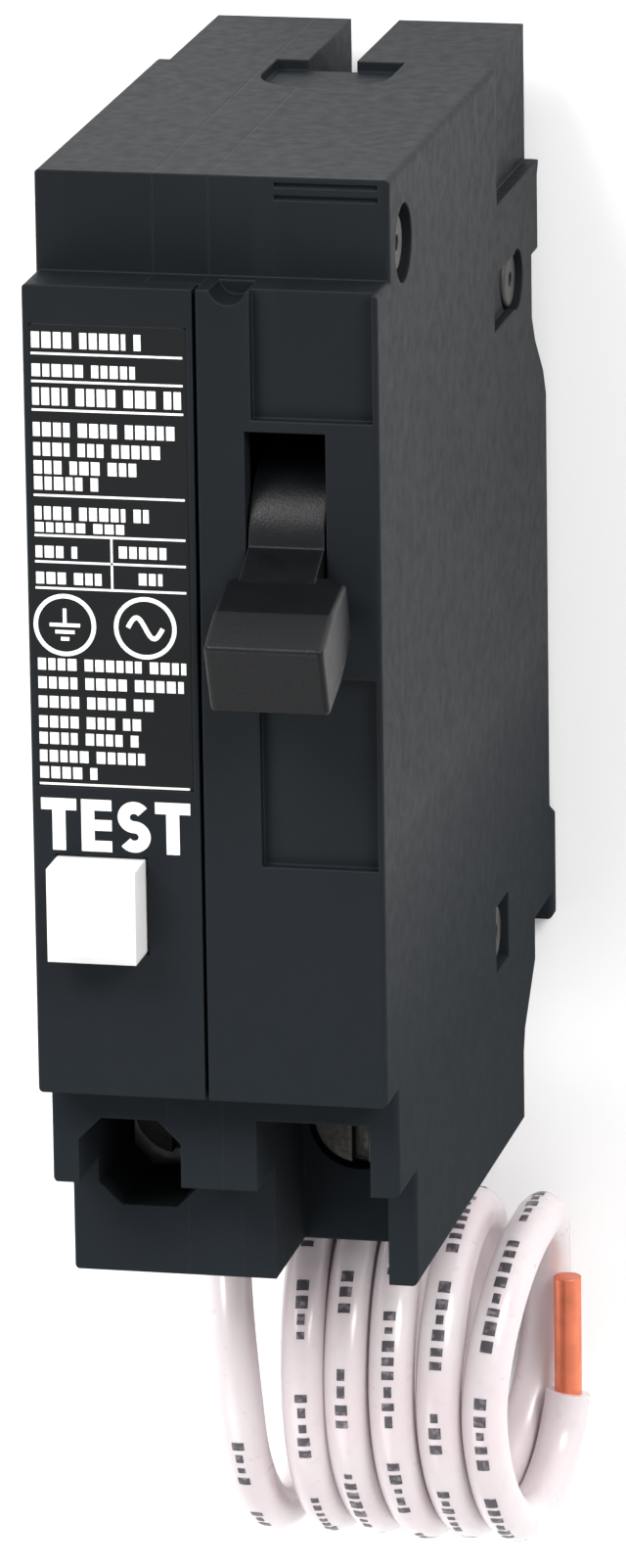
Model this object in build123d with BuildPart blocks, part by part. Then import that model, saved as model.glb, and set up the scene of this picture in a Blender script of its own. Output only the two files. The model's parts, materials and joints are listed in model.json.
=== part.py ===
"""Single-pole plug-on GFCI circuit breaker, one inch wide, lying on its back.

Frame, in millimetres: +X is across the case, with the GFCI module at -X and the breaker module at +X.
+Y points to the line end, where the plug-on jaw is. +Z points out of the label face.
The origin is under the middle of the case, on the surface that the foot rests on.
"""

import os
from math import cos, radians, sin, tan

from build123d import *

# ---------------------------------------------------------------- driving dimensions
HALF_WIDTH = 12.7  # a pole is one inch wide
HALF_HEIGHT = 41.25
FACE_Z = 63.9  # the raised label face
WALL = 1.4

COVER_SEAM_X = -4.2  # between the cover and the centre case
CASE_SEAM_X = -0.2  # between the centre case and the breaker case
FACE_SEAM_X = -0.5  # right edge of the cover's front plate
PARTITION_X = -1.7  # left side of the wall between the modules

FACE_Y = (-24.85, 34.05)  # the raised face
STEP_Y = -32.75
SHOULDER_Z = 60.0
LOW_FRONT_Z = 54.0
LINE_SHOULDER_Z = 59.4
PLATE_Z = 62.0  # underside of the cover's front plate
BACK_Z = 2.2

REBATE_DEPTH = 1.1  # both sides are set back beside the jaw
REBATE_Y = 31.0
REBATE_Z = 21.0

JAW_SLOT_X = (-1.45, 2.2)
JAW_SLOT_Y = 28.0
JAW_SLOT_Z = 20.0
JAW_LEAF = 0.7
JAW_GAP = 1.5
JAW_CLIP = 0.3

HANDLE_Y, HANDLE_Z = 15.25, 57.9  # pivot
HANDLE_TILT = 22.0  # leans to the load end when off, to the line end when on
HANDLE_X = (3.3, 8.7)
PADDLE_X = (2.4, 10.9)
BARREL_R = 6.0
PADDLE_FOOT, HANDLE_TIP = 7.9, 17.3  # from the pivot
HANDLE_UP = (0, -sin(radians(HANDLE_TILT)), cos(radians(HANDLE_TILT)))
SLOT_X = (3.1, 8.9)
SLOT_Y = (6.45, 24.05)
PIN_R = 1.5
RUNNING = 0.05  # radial clearance of every bore that turns

ARM_DROP = 7.0  # handle pivot to arm pivot
ARM_LENGTH = 23.0  # arm pivot to contact
ARM_X = (5.5, 7.5)
ARM_OFF, ARM_ON = -17.8, 14.0  # lean of the arm
ARM_PIN_R = 0.8

LEVER_Y, LEVER_Z = 27.0, 47.0  # trip lever pivot
LEVER_X = (1.5, 2.6)
LEVER_PIN_R = 1.2

ARMATURE_Y, ARMATURE_Z = -5.5, 52.0  # armature pivot
ARMATURE_PIN_R = 0.8

TERMINAL_Y = (-38.0, -28.0)
TERMINAL_Z = (31.0, 41.5)
SCREW_Y = -32.0
NEUTRAL_X, LOAD_X = -7.0, 6.45
WIRE_Z = 35.2
WIRE_R = 2.9
SCREW_R = 2.4
SCREW_HEAD_R = 3.4

BUTTON_X = (-10.95, -4.55)
BUTTON_Y = (-14.15, -7.35)
BUTTON_TOP = 67.9
BUTTON_FOOT = 58.0

CORE_X, CORE_Z = -6.5, 22.0
COIL_Z = 34.0
PLUNGER_R = 1.3

RIVETS = ((35.75, 54.6), (23.85, 13.6), (-24.15, 21.4))  # (y, z)
RIVET_R = 1.2
RIVET_HEAD_R = 2.1
BOSS_R = 3.7
RECESS = 1.2  # depth that the rivet heads are sunk

WIRE_D = 3.5  # insulated pigtail, 12 AWG
COPPER_R = 1.05
LOOP_Y, LOOP_Z = -60.75, 13.55  # centre of the pigtail's coil
LOOP_R = 11.75
GLAND_X, GLAND_Z = -9.2, 17.2

# ---------------------------------------------------------------- outlines in the YZ plane
CASE_OUTLINE = [
    (-HALF_HEIGHT, 13.2),
    (-HALF_HEIGHT, LOW_FRONT_Z),
    (STEP_Y, LOW_FRONT_Z),
    (STEP_Y, SHOULDER_Z),
    (FACE_Y[0], SHOULDER_Z),
    (FACE_Y[0], FACE_Z),
    (FACE_Y[1], FACE_Z),
    (FACE_Y[1], LINE_SHOULDER_Z),
    (HALF_HEIGHT, LINE_SHOULDER_Z),
    (HALF_HEIGHT, 4.6),
    (30.7, 4.6),
    (29.9, 5.1),
    (24.2, 5.1),
    (24.2, 7.5),
    (19.75, 7.5),
    (17.75, 6.3),
    (14.75, 3.3),
    (12.65, BACK_Z),
    (-19.5, BACK_Z),
    (-20.6, 0),
    (-28.85, 0),
    (-28.85, 1.7),
    (-26.95, 1.7),
    (-26.95, 8.4),
    (-30.05, 8.4),
    (-34.3, 12.65),
    (-35.9, 13.2),
]
CAVITY_OUTLINE = [
    (-39.7, 15.0),
    (-39.7, 52.4),
    (STEP_Y + WALL, 52.4),
    (STEP_Y + WALL, SHOULDER_Z - 1.6),
    (FACE_Y[0] + WALL, SHOULDER_Z - 1.6),
    (FACE_Y[0] + WALL, PLATE_Z),
    (32.5, PLATE_Z),
    (32.5, 57.8),
    (39.65, 57.8),
    (39.65, 6.2),
    (31.2, 6.2),
    (25.8, 6.8),
    (25.8, 9.1),
    (19.2, 9.1),
    (16.7, 7.7),
    (13.6, 4.5),
    (12.3, 3.8),
    (-25.3, 3.8),
    (-25.3, 10.0),
    (-30.7, 10.0),
    (-35.0, 14.4),
]


# ---------------------------------------------------------------- helpers for the open part
def block(x, y, z, mode=Mode.ADD):
    """A block between the low and high values in x, y and z."""
    with Locations(((x[0] + x[1]) / 2, (y[0] + y[1]) / 2, (z[0] + z[1]) / 2)):
        Box(x[1] - x[0], y[1] - y[0], z[1] - z[0], mode=mode)


def rod(start, end, radius, mode=Mode.ADD):
    """A round bar between two points."""
    start, end = Vector(*start), Vector(*end)
    with Locations(Plane(origin=(start + end) / 2, z_dir=end - start)):
        Cylinder(radius, (end - start).length, mode=mode)


def rod_x(centre, x, radius, mode=Mode.ADD):
    """A round bar along X about centre, which is (y, z)."""
    rod((x[0], *centre), (x[1], *centre), radius, mode)


def side_plane(x, y=0.0, z=0.0, lean=0.0):
    """A sketch plane facing +X, its own Y axis leaning by that angle from +Z towards -Y."""
    a = radians(lean)
    return Plane(origin=(x, y, z), x_dir=(0, cos(a), sin(a)), z_dir=(1, 0, 0))


def along(x, y, z, lean, down):
    """The point that far down a side plane's own Y axis."""
    a = radians(lean)
    return (x, y + down * sin(a), z - down * cos(a))


def finish(piece, name):
    """Label a sub-part and write it."""
    piece.part.label = name
    export_step(piece.part, f"parts/{name}.step")


os.makedirs("parts", exist_ok=True)

# ---------------------------------------------------------------- casing
LEFT_WALL_X = -HALF_WIDTH + WALL
RIGHT_WALL_X = HALF_WIDTH - WALL
BUTTON_GAP = 0.2


def access_hole():
    """Cut the hole with chamfered corners that leads down to the neutral screw."""
    with BuildSketch(Plane.XY.offset(43.0), mode=Mode.PRIVATE) as hole:
        with Locations((NEUTRAL_X, SCREW_Y)):
            Rectangle(7.5, 8.4)
        chamfer(hole.vertices(), 1.7)
    extrude(hole.sketch, amount=20.0, mode=Mode.SUBTRACT)


def side_rebate(x):
    """Set one side back beside the jaw."""
    depth = (x - REBATE_DEPTH, x + REBATE_DEPTH)
    block(depth, (REBATE_Y, HALF_HEIGHT + 1), (0, REBATE_Z), Mode.SUBTRACT)


def rivet_bosses(x):
    for centre in RIVETS:
        rod_x(centre, x, BOSS_R)


def rivet_holes(x):
    for centre in RIVETS:
        rod_x(centre, x, RIVET_R, Mode.SUBTRACT)


with BuildPart() as left_cover:
    with BuildSketch(Plane.YZ.offset(-HALF_WIDTH)):
        with BuildLine():
            Polyline(*CASE_OUTLINE, close=True)
        make_face()
    extrude(amount=COVER_SEAM_X + HALF_WIDTH)
    fillet(left_cover.faces().sort_by(Axis.X)[0].edges(), 0.4)
    with BuildSketch(Plane.YZ.offset(LEFT_WALL_X)):
        with BuildLine():
            Polyline(*CAVITY_OUTLINE, close=True)
        make_face()
    extrude(amount=COVER_SEAM_X - LEFT_WALL_X, mode=Mode.SUBTRACT)
    block((COVER_SEAM_X, FACE_SEAM_X), FACE_Y, (PLATE_Z, FACE_Z))
    rivet_bosses((LEFT_WALL_X - 0.2, COVER_SEAM_X))
    # wall behind the rebate beside the jaw
    block((LEFT_WALL_X - 0.1, LEFT_WALL_X + REBATE_DEPTH), (29.5, 40.0), (5.8, 22.5))
    side_rebate(-HALF_WIDTH)
    # well around the neutral screw, with the access hole down to the screw's head
    block((LEFT_WALL_X - 0.1, COVER_SEAM_X), (-39.8, -26.3), (44.0, 53.0))
    block((LEFT_WALL_X - 0.1, COVER_SEAM_X), (STEP_Y + WALL - 0.1, -26.3), (52.0, 58.6))
    access_hole()
    # shelf under the test button's spring
    block((LEFT_WALL_X - 0.1, -4.4), (-15.0, -5.6), (49.4, 50.6))
    block(
        (BUTTON_X[0] - 0.1, BUTTON_X[1] + BUTTON_GAP),
        (BUTTON_Y[0] - BUTTON_GAP, BUTTON_Y[1] + BUTTON_GAP),
        (PLATE_Z - 1, FACE_Z + 1),
        Mode.SUBTRACT,
    )
    # pocket for the rating label
    block((-12.2, -0.9), (-2.2, 31.3), (FACE_Z - 0.12, FACE_Z + 1), Mode.SUBTRACT)
    # neutral wire hole and pigtail hole in the load end
    rod((NEUTRAL_X, -42, WIRE_Z), (NEUTRAL_X, -39, WIRE_Z), 3.5, Mode.SUBTRACT)
    rod((GLAND_X, -42, GLAND_Z), (GLAND_X, -39, GLAND_Z), 2.6, Mode.SUBTRACT)
    rivet_holes((-HALF_WIDTH - 1, COVER_SEAM_X + 1))
    for centre in RIVETS:
        rod_x(centre, (-HALF_WIDTH - 1, -HALF_WIDTH + RECESS), 2.85, Mode.SUBTRACT)
finish(left_cover, "left_cover")


def pocket_walls(x):
    """The walls that close the jaw slot off from the inside."""
    block(x, (JAW_SLOT_Y - 1.4, 40.0), (5.6, JAW_SLOT_Z + 1.5))


def jaw_slot():
    block(JAW_SLOT_X, (JAW_SLOT_Y, HALF_HEIGHT + 1), (0, JAW_SLOT_Z), Mode.SUBTRACT)
    # shallow half-round depression in the line end, in front of the slot
    rod((1.0, HALF_HEIGHT - 0.8, 25.1), (1.0, HALF_HEIGHT + 1, 25.1), 4.8, Mode.SUBTRACT)
    block((-3.8, 5.8), (HALF_HEIGHT - 0.8, HALF_HEIGHT + 1), (JAW_SLOT_Z - 0.1, 25.1), Mode.SUBTRACT)


with BuildPart() as centre_case:
    with BuildSketch(Plane.YZ.offset(COVER_SEAM_X)):
        with BuildLine():
            Polyline(*CASE_OUTLINE, close=True)
        make_face()
    extrude(amount=CASE_SEAM_X - COVER_SEAM_X)
    # the cover's front plate lies over the raised part
    block((COVER_SEAM_X - 1, 0), FACE_Y, (PLATE_Z, FACE_Z + 1), Mode.SUBTRACT)
    with BuildSketch(Plane.YZ.offset(COVER_SEAM_X)):
        with BuildLine():
            Polyline(*CAVITY_OUTLINE, close=True)
        make_face()
    extrude(amount=PARTITION_X - COVER_SEAM_X, mode=Mode.SUBTRACT)
    # front rail that closes the cavity under the cover's plate
    block((PARTITION_X - 0.8, CASE_SEAM_X), (FACE_Y[0] + WALL - 0.1, 32.6), (PLATE_Z - 1.4, PLATE_Z))
    pocket_walls((JAW_SLOT_X[0] - 1.4, CASE_SEAM_X))
    rivet_bosses((COVER_SEAM_X, CASE_SEAM_X))
    # rim of the well around the neutral screw
    block((COVER_SEAM_X, PARTITION_X), (-39.8, -26.3), (44.0, 53.0))
    block((COVER_SEAM_X, PARTITION_X), (STEP_Y + WALL - 0.1, -26.3), (52.0, 58.6))
    access_hole()
    # left-hand seats of the pivot pins
    rod_x((HANDLE_Y, HANDLE_Z), (CASE_SEAM_X - 0.5, 2.8), 3.0)
    rod_x((LEVER_Y, LEVER_Z), (CASE_SEAM_X - 0.5, 1.2), 2.4)
    rod_x((ARMATURE_Y, ARMATURE_Z), (CASE_SEAM_X - 0.5, 1.2), 2.0)
    jaw_slot()
    for centre, radius in (
        ((HANDLE_Y, HANDLE_Z), PIN_R),
        ((LEVER_Y, LEVER_Z), LEVER_PIN_R),
        ((ARMATURE_Y, ARMATURE_Z), ARMATURE_PIN_R),
    ):
        rod_x(centre, (-0.7, 3), radius, Mode.SUBTRACT)
    # windows for the trip plunger's finger and for the load lead, out and back
    block((-2, 0), (-7.6, -3.0), (COIL_Z - 2, COIL_Z + 2), Mode.SUBTRACT)
    block((-2, 0), (-7.2, -3.8), (17.0, 21.8), Mode.SUBTRACT)
    block((-2, 0), (-20.4, -17.0), (22.2, 26.2), Mode.SUBTRACT)
    rod((NEUTRAL_X, -42, WIRE_Z), (NEUTRAL_X, -39, WIRE_Z), 3.5, Mode.SUBTRACT)
    rivet_holes((COVER_SEAM_X - 1, 1))
finish(centre_case, "centre_case")

RECESS_FLOOR_Z = FACE_Z - 0.9
OPENING_X = (2.3, 10.6)  # the load screw's opening, open to the front and to the load end
OPENING_Y = -27.45
OPENING_Z = 44.2

with BuildPart() as breaker_case:
    with BuildSketch(Plane.YZ.offset(CASE_SEAM_X)):
        with BuildLine():
            Polyline(*CASE_OUTLINE, close=True)
        make_face()
    extrude(amount=HALF_WIDTH - CASE_SEAM_X)
    fillet(breaker_case.faces().sort_by(Axis.X)[-1].edges(), 0.4)
    with BuildSketch(Plane.YZ.offset(CASE_SEAM_X)):
        with BuildLine():
            Polyline(*CAVITY_OUTLINE, close=True)
        make_face()
    extrude(amount=RIGHT_WALL_X - CASE_SEAM_X, mode=Mode.SUBTRACT)
    rivet_bosses((CASE_SEAM_X, RIGHT_WALL_X + 0.2))
    pocket_walls((CASE_SEAM_X, JAW_SLOT_X[1] + 1.4))
    # wall behind the rebate beside the jaw
    block((RIGHT_WALL_X - REBATE_DEPTH, RIGHT_WALL_X + 0.1), (29.5, 40.0), (5.8, 22.5))
    side_rebate(HALF_WIDTH)
    jaw_slot()
    block((CASE_SEAM_X, 1.2), (33.3, 37.5), (JAW_SLOT_Z - 1, JAW_SLOT_Z + 2), Mode.SUBTRACT)
    # block around the load screw's opening
    block((CASE_SEAM_X, RIGHT_WALL_X + 0.1), (-39.8, -25.8), (OPENING_Z - 2, 53.0))
    block((CASE_SEAM_X, RIGHT_WALL_X + 0.1), (STEP_Y + WALL - 0.1, -25.8), (52.0, 58.8))
    block(OPENING_X, (-HALF_HEIGHT - 1, OPENING_Y), (OPENING_Z, 61.0), Mode.SUBTRACT)
    rod((LOAD_X, SCREW_Y, OPENING_Z - 3), (LOAD_X, SCREW_Y, OPENING_Z + 1), 3.8, Mode.SUBTRACT)
    rod((LOAD_X, -42, WIRE_Z), (LOAD_X, -39, WIRE_Z), 3.5, Mode.SUBTRACT)
    # recesses in the face, above and below the handle's band
    block((3.6, 12.3), (24.85, 34.95), (RECESS_FLOOR_Z, FACE_Z + 1), Mode.SUBTRACT)
    block((3.9, 12.3), (-7.45, 6.45), (RECESS_FLOOR_Z, FACE_Z + 1), Mode.SUBTRACT)
    block(SLOT_X, SLOT_Y, (PLATE_Z - 1, FACE_Z + 1), Mode.SUBTRACT)
    # half-round notch in the left strip, and two fine ledges on the line shoulder
    notch = (2.05, FACE_Y[1] + 0.3)
    rod((*notch, LINE_SHOULDER_Z + 1), (*notch, FACE_Z + 1), 1.35, Mode.SUBTRACT)
    for y in (39.6, 40.5):
        block((4.5, 11.9), (y, y + 0.35), (LINE_SHOULDER_Z - 0.3, LINE_SHOULDER_Z + 1), Mode.SUBTRACT)
    # right-hand seats of the pivot pins
    for centre, x, radius, pin in (
        ((HANDLE_Y, HANDLE_Z), 9.0, 3.0, PIN_R),
        ((LEVER_Y, LEVER_Z), 8.4, 2.4, LEVER_PIN_R),
        ((ARMATURE_Y, ARMATURE_Z), 9.4, 2.0, ARMATURE_PIN_R),
    ):
        rod_x(centre, (x, RIGHT_WALL_X + 0.2), radius)
        rod_x(centre, (x - 1, RIGHT_WALL_X), pin, Mode.SUBTRACT)
    # rib that carries the calibration screw
    block((4.2, RIGHT_WALL_X + 0.1), (-19.0, -17.0), (3.0, 20.5))
    rod((6.2, -20, 17.0), (6.2, -16, 17.0), 1.3, Mode.SUBTRACT)
    # sunk places of the rivets in the side: round, J-shaped and square
    rivet_holes((CASE_SEAM_X - 1, HALF_WIDTH + 1))
    side = (HALF_WIDTH - RECESS, HALF_WIDTH + 1)
    rod_x(RIVETS[0], side, 2.85, Mode.SUBTRACT)
    rod_x(RIVETS[1], side, 2.3, Mode.SUBTRACT)
    block((HALF_WIDTH - 0.8, side[1]), (21.75, 25.95), (13.6, 22.2), Mode.SUBTRACT)
    block(side, (-26.7, -21.6), (19.0, 23.8), Mode.SUBTRACT)
finish(breaker_case, "breaker_case")

with BuildPart() as rating_label:
    with BuildSketch(Plane.XY.offset(FACE_Z - 0.12)):
        with Locations((-6.55, 14.55)):
            RectangleRounded(11.3, 33.5, 0.4)
    extrude(amount=0.12)
finish(rating_label, "rating_label")

with BuildPart() as case_rivets:
    for y, z in RIVETS:
        rod_x((y, z), (-HALF_WIDTH + RECESS, HALF_WIDTH - RECESS), RIVET_R)
        for x, outward in ((-HALF_WIDTH + RECESS, -1), (HALF_WIDTH - RECESS, 1)):
            rod_x((y, z), sorted((x, x + 0.7 * outward)), RIVET_HEAD_R)
    fillet(case_rivets.edges().filter_by(GeomType.CIRCLE).filter_by(lambda e: e.radius > 2), 0.3)
    for y, z in RIVETS:
        rod_x((y, z), (-HALF_WIDTH, HALF_WIDTH), 0.6, Mode.SUBTRACT)
finish(case_rivets, "case_rivets")

# ---------------------------------------------------------------- line side
JAW_X = (JAW_SLOT_X[0] + JAW_SLOT_X[1]) / 2
JAW_WEB_Z = 18.3
LEAVES_X = (JAW_X - JAW_GAP / 2 - JAW_LEAF, JAW_X + JAW_GAP / 2 + JAW_LEAF)
JAW_Y = (28.6, 36.4)

with BuildPart() as line_jaw:
    block(LEAVES_X, JAW_Y, (6.2, JAW_WEB_Z))
    fillet(line_jaw.edges().filter_by(Axis.Y).group_by(Axis.Z)[-1], 0.6)
    gap = (JAW_X - JAW_GAP / 2, JAW_X + JAW_GAP / 2)
    block(gap, (JAW_Y[0] - 1, JAW_Y[1] + 1), (5.0, JAW_WEB_Z - 0.8), Mode.SUBTRACT)
    # the mouth is eased open for the bus stab
    chamfer(
        line_jaw.edges().filter_by(Axis.Y).group_by(Axis.Z)[0].sort_by(Axis.X)[1:3],
        0.45,
    )
finish(line_jaw, "line_jaw")

with BuildPart() as jaw_spring:
    clip_x = (LEAVES_X[0] - JAW_CLIP, LEAVES_X[1] + JAW_CLIP)
    block(clip_x, (30.0, 33.0), (8.0, JAW_WEB_Z + JAW_CLIP))
    block(LEAVES_X, (29.0, 34.0), (7.0, JAW_WEB_Z), Mode.SUBTRACT)
finish(jaw_spring, "jaw_spring")

STRAP_Z = (25.2, 26.4)
STRAP_Y = (33.4, 37.4)
CONTACT_R = 1.8
CONTACT_H = 1.2
CONTACT_Z = HANDLE_Z - ARM_DROP * cos(radians(HANDLE_TILT)) - ARM_LENGTH * cos(radians(ARM_ON))
CONTACT_Y = (
    HANDLE_Y - ARM_DROP * sin(radians(HANDLE_TILT)) + ARM_LENGTH * sin(radians(ARM_ON)) + 2.0 + CONTACT_H
)  # face of the moving contact when the breaker is on
FIXED_CONTACT_Y = CONTACT_Y + 0.1

with BuildPart() as line_strap:
    block((-0.1, 1.1), STRAP_Y, (JAW_WEB_Z, STRAP_Z[1]))
    block((-0.1, 8.6), STRAP_Y, STRAP_Z)
    # upright that carries the fixed contact
    upright_y = (FIXED_CONTACT_Y + CONTACT_H, FIXED_CONTACT_Y + 2 * CONTACT_H)
    block((4.4, 8.6), (upright_y[0], STRAP_Y[1]), STRAP_Z)
    block((4.4, 8.6), upright_y, (STRAP_Z[0], CONTACT_Z + 2.6))
finish(line_strap, "line_strap")

with BuildPart() as fixed_contact:
    rod((6.5, FIXED_CONTACT_Y, CONTACT_Z), (6.5, FIXED_CONTACT_Y + CONTACT_H, CONTACT_Z), CONTACT_R)
finish(fixed_contact, "fixed_contact")

ARC_PLATES = [13.5 + 2.0 * i for i in range(6)]
ARC_PLATE_T = 0.8
ARC_Y = (12.0, 19.8)

with BuildPart() as arc_plates:
    for z in ARC_PLATES:
        with BuildSketch(Plane.XY.offset(z)):
            with Locations((5.6, sum(ARC_Y) / 2)):
                Rectangle(9.2, ARC_Y[1] - ARC_Y[0])
            with Locations((5.6, ARC_Y[0])):
                SlotOverall(9.0, 4.2, rotation=90, mode=Mode.SUBTRACT)
        extrude(amount=ARC_PLATE_T)
finish(arc_plates, "arc_plates")

with BuildPart() as arc_frame:
    for x in ((0.4, 0.95), (10.25, 10.8)):
        block(x, (11.2, 20.0), (12.8, 25.2))
finish(arc_frame, "arc_frame")

# ---------------------------------------------------------------- handle
with BuildPart() as handle:
    with BuildSketch(side_plane(PADDLE_X[0], HANDLE_Y, HANDLE_Z, HANDLE_TILT)):
        with BuildLine():
            Polyline(
                (-2.3, PADDLE_FOOT),
                (-3.1, 13.4),
                (-2.8, HANDLE_TIP),
                (2.8, HANDLE_TIP),
                (3.1, 13.4),
                (2.3, PADDLE_FOOT),
                close=True,
            )
        make_face()
    extrude(amount=PADDLE_X[1] - PADDLE_X[0])
    foot = handle.faces().sort_by(Axis((0, 0, 0), HANDLE_UP))[0].edges().sort_by(Axis.X)
    chamfer((foot[0], foot[-1]), 0.9)
    fillet(handle.edges(), 0.4)
    with BuildSketch(side_plane(HANDLE_X[0], HANDLE_Y, HANDLE_Z, HANDLE_TILT)):
        Circle(BARREL_R)
        with BuildLine():
            Polyline((-2.9, 3), (-2.2, 13.2), (2.2, 13.2), (2.9, 3), close=True)
        make_face()
    extrude(amount=HANDLE_X[1] - HANDLE_X[0])
    for x in ((HANDLE_X[0], 5.2), (7.8, HANDLE_X[1])):
        with BuildSketch(side_plane(x[0], HANDLE_Y, HANDLE_Z, HANDLE_TILT)):
            with Locations((0, -ARM_DROP / 2 - 1)):
                Rectangle(3.8, ARM_DROP + 2)
        extrude(amount=x[1] - x[0])
    # gap between the legs for the contact arm
    with BuildSketch(side_plane(5.2, HANDLE_Y, HANDLE_Z, HANDLE_TILT)):
        with Locations((0, -8)):
            Rectangle(16, 8)
    extrude(amount=2.6, mode=Mode.SUBTRACT)
    rod_x((HANDLE_Y, HANDLE_Z), (0, 12), PIN_R + RUNNING, Mode.SUBTRACT)
    rod_x(along(0, HANDLE_Y, HANDLE_Z, HANDLE_TILT, ARM_DROP)[1:], (0, 12), ARM_PIN_R, Mode.SUBTRACT)
finish(handle, "handle")

with BuildPart() as handle_pin:
    rod_x((HANDLE_Y, HANDLE_Z), (0.0, RIGHT_WALL_X - 0.1), PIN_R)
finish(handle_pin, "handle_pin")

ARM_Y, ARM_Z = along(0, HANDLE_Y, HANDLE_Z, HANDLE_TILT, ARM_DROP)[1:]
with BuildPart() as arm_pin:
    rod_x((ARM_Y, ARM_Z), HANDLE_X, ARM_PIN_R)
finish(arm_pin, "arm_pin")

# ---------------------------------------------------------------- contact arm
SPRING_X = 4.05
ARM_HOOK = 15.0  # arm pivot to the spring's pin
HOOK_PIN_R = 0.45
with BuildPart() as contact_arm:
    with BuildSketch(side_plane(ARM_X[0], ARM_Y, ARM_Z, ARM_OFF)):
        with Locations((0, -ARM_LENGTH / 2)):
            SlotCenterToCenter(ARM_LENGTH, 3.0, rotation=90)
        with Locations((0, -ARM_LENGTH)):
            Rectangle(4.0, 4.2, rotation=-ARM_ON)
    extrude(amount=ARM_X[1] - ARM_X[0])
    rod_x((ARM_Y, ARM_Z), (ARM_X[0] - 1, ARM_X[1] + 1), ARM_PIN_R + RUNNING, Mode.SUBTRACT)
    rod_x(along(0, ARM_Y, ARM_Z, ARM_OFF, ARM_HOOK)[1:], (SPRING_X - 0.5, ARM_X[0]), HOOK_PIN_R)
finish(contact_arm, "contact_arm")

arm_end = side_plane(sum(ARM_X) / 2, *along(0, ARM_Y, ARM_Z, ARM_OFF, ARM_LENGTH)[1:], ARM_OFF - ARM_ON)
with BuildPart() as moving_contact:
    contact_ends = [tuple(arm_end.from_local_coords(Vector(2 + h, 0, 0))) for h in (0, CONTACT_H)]
    rod(*contact_ends, CONTACT_R)
finish(moving_contact, "moving_contact")

# ---------------------------------------------------------------- trip lever
LATCH = (ARMATURE_Y + 0.65, 41.0)  # tip of the lever, (y, z)
LEVER_HOOK = (14.5, 45.3)
with BuildPart() as trip_lever:
    with BuildSketch(side_plane(LEVER_X[0])):
        with Locations((LEVER_Y, LEVER_Z)):
            Circle(2.4)
        with BuildLine():
            Polyline(
                (LEVER_Y, LEVER_Z + 2.0),
                (LEVER_HOOK[0], LEVER_HOOK[1] + 1.7),
                (LATCH[0] + 1.2, LATCH[1] + 0.4),
                LATCH,
                (LATCH[0], LATCH[1] - 1.4),
                (LATCH[0] + 2, LATCH[1] - 1.4),
                (LEVER_HOOK[0], LEVER_HOOK[1] - 1.9),
                (LEVER_Y, LEVER_Z - 2.0),
                close=True,
            )
        make_face()
    extrude(amount=LEVER_X[1] - LEVER_X[0])
    rod_x((LEVER_Y, LEVER_Z), (LEVER_X[0], 8.0), 2.4)
    rod_x(LEVER_HOOK, (LEVER_X[1], SPRING_X + 0.5), HOOK_PIN_R)
    rod_x((LEVER_Y, LEVER_Z), (0, 12), LEVER_PIN_R + RUNNING, Mode.SUBTRACT)
finish(trip_lever, "trip_lever")

with BuildPart() as trip_lever_pin:
    rod_x((LEVER_Y, LEVER_Z), (0.0, RIGHT_WALL_X - 0.1), LEVER_PIN_R)
finish(trip_lever_pin, "trip_lever_pin")


def coil_spring(start, end, radius, turns, wire):
    """A helical spring between two points."""
    start, end = Vector(*start), Vector(*end)
    length = (end - start).length
    with BuildLine(mode=Mode.PRIVATE) as coil:
        Helix(pitch=length / turns, height=length, radius=radius, center=start, direction=end - start)
    with BuildSketch(Plane(origin=coil.line @ 0, z_dir=coil.line % 0), mode=Mode.PRIVATE) as section:
        Circle(wire / 2)
    sweep(section.sketch, path=coil.line, is_frenet=True)


hook_low = Vector(*along(SPRING_X, ARM_Y, ARM_Z, ARM_OFF, ARM_HOOK))
hook_high = Vector(SPRING_X, *LEVER_HOOK)
toward = (hook_high - hook_low).normalized()
EYE_R = 0.72
with BuildPart() as toggle_spring:
    coil_spring(tuple(hook_low + toward * 1.0), tuple(hook_high - toward * 1.0), 0.8, 7, 0.4)
    for eye in (hook_low, hook_high):
        with Locations(Plane(origin=eye, z_dir=(1, 0, 0))):
            Torus(EYE_R, 0.2)
finish(toggle_spring, "toggle_spring")

# ---------------------------------------------------------------- thermal and magnetic trip
ARMATURE_X = (1.2, 9.0)
ARMATURE_FOOT_Z = 28.0
with BuildPart() as armature:
    block(ARMATURE_X, (ARMATURE_Y - 0.5, ARMATURE_Y + 0.5), (ARMATURE_FOOT_Z, ARMATURE_Z))
    fillet(armature.edges().filter_by(Axis.Y), 0.8)
    rod_x((ARMATURE_Y, ARMATURE_Z), (1.4, 9.2), 1.6)
    rod_x((ARMATURE_Y, ARMATURE_Z), (0, 12), ARMATURE_PIN_R + RUNNING, Mode.SUBTRACT)
finish(armature, "armature")

with BuildPart() as armature_pin:
    rod_x((ARMATURE_Y, ARMATURE_Z), (0.0, RIGHT_WALL_X - 0.1), ARMATURE_PIN_R)
finish(armature_pin, "armature_pin")

with BuildPart() as magnet_yoke:
    block((3.0, 9.4), (-13.9, -8.9), (29.0, 37.0))
    block((4.1, 8.3), (-12.8, -8.0), (28.0, 38.0), Mode.SUBTRACT)
finish(magnet_yoke, "magnet_yoke")

BIMETAL_Y = (-11.3, -10.5)
with BuildPart() as bimetal:
    block((4.6, 7.8), BIMETAL_Y, (13.0, 46.0))
    block((4.6, 7.8), (BIMETAL_Y[0], -8.6), (45.2, 46.0))
finish(bimetal, "bimetal")

with BuildPart() as calibration_screw:
    rod((6.2, -19.0, 17.0), (6.2, -11.4, 17.0), 1.3)
    rod((6.2, -20.4, 17.0), (6.2, -19.0, 17.0), 2.2)
    block((5.8, 6.6), (-20.5, -19.7), (14.5, 19.5), Mode.SUBTRACT)
finish(calibration_screw, "calibration_screw")


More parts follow.
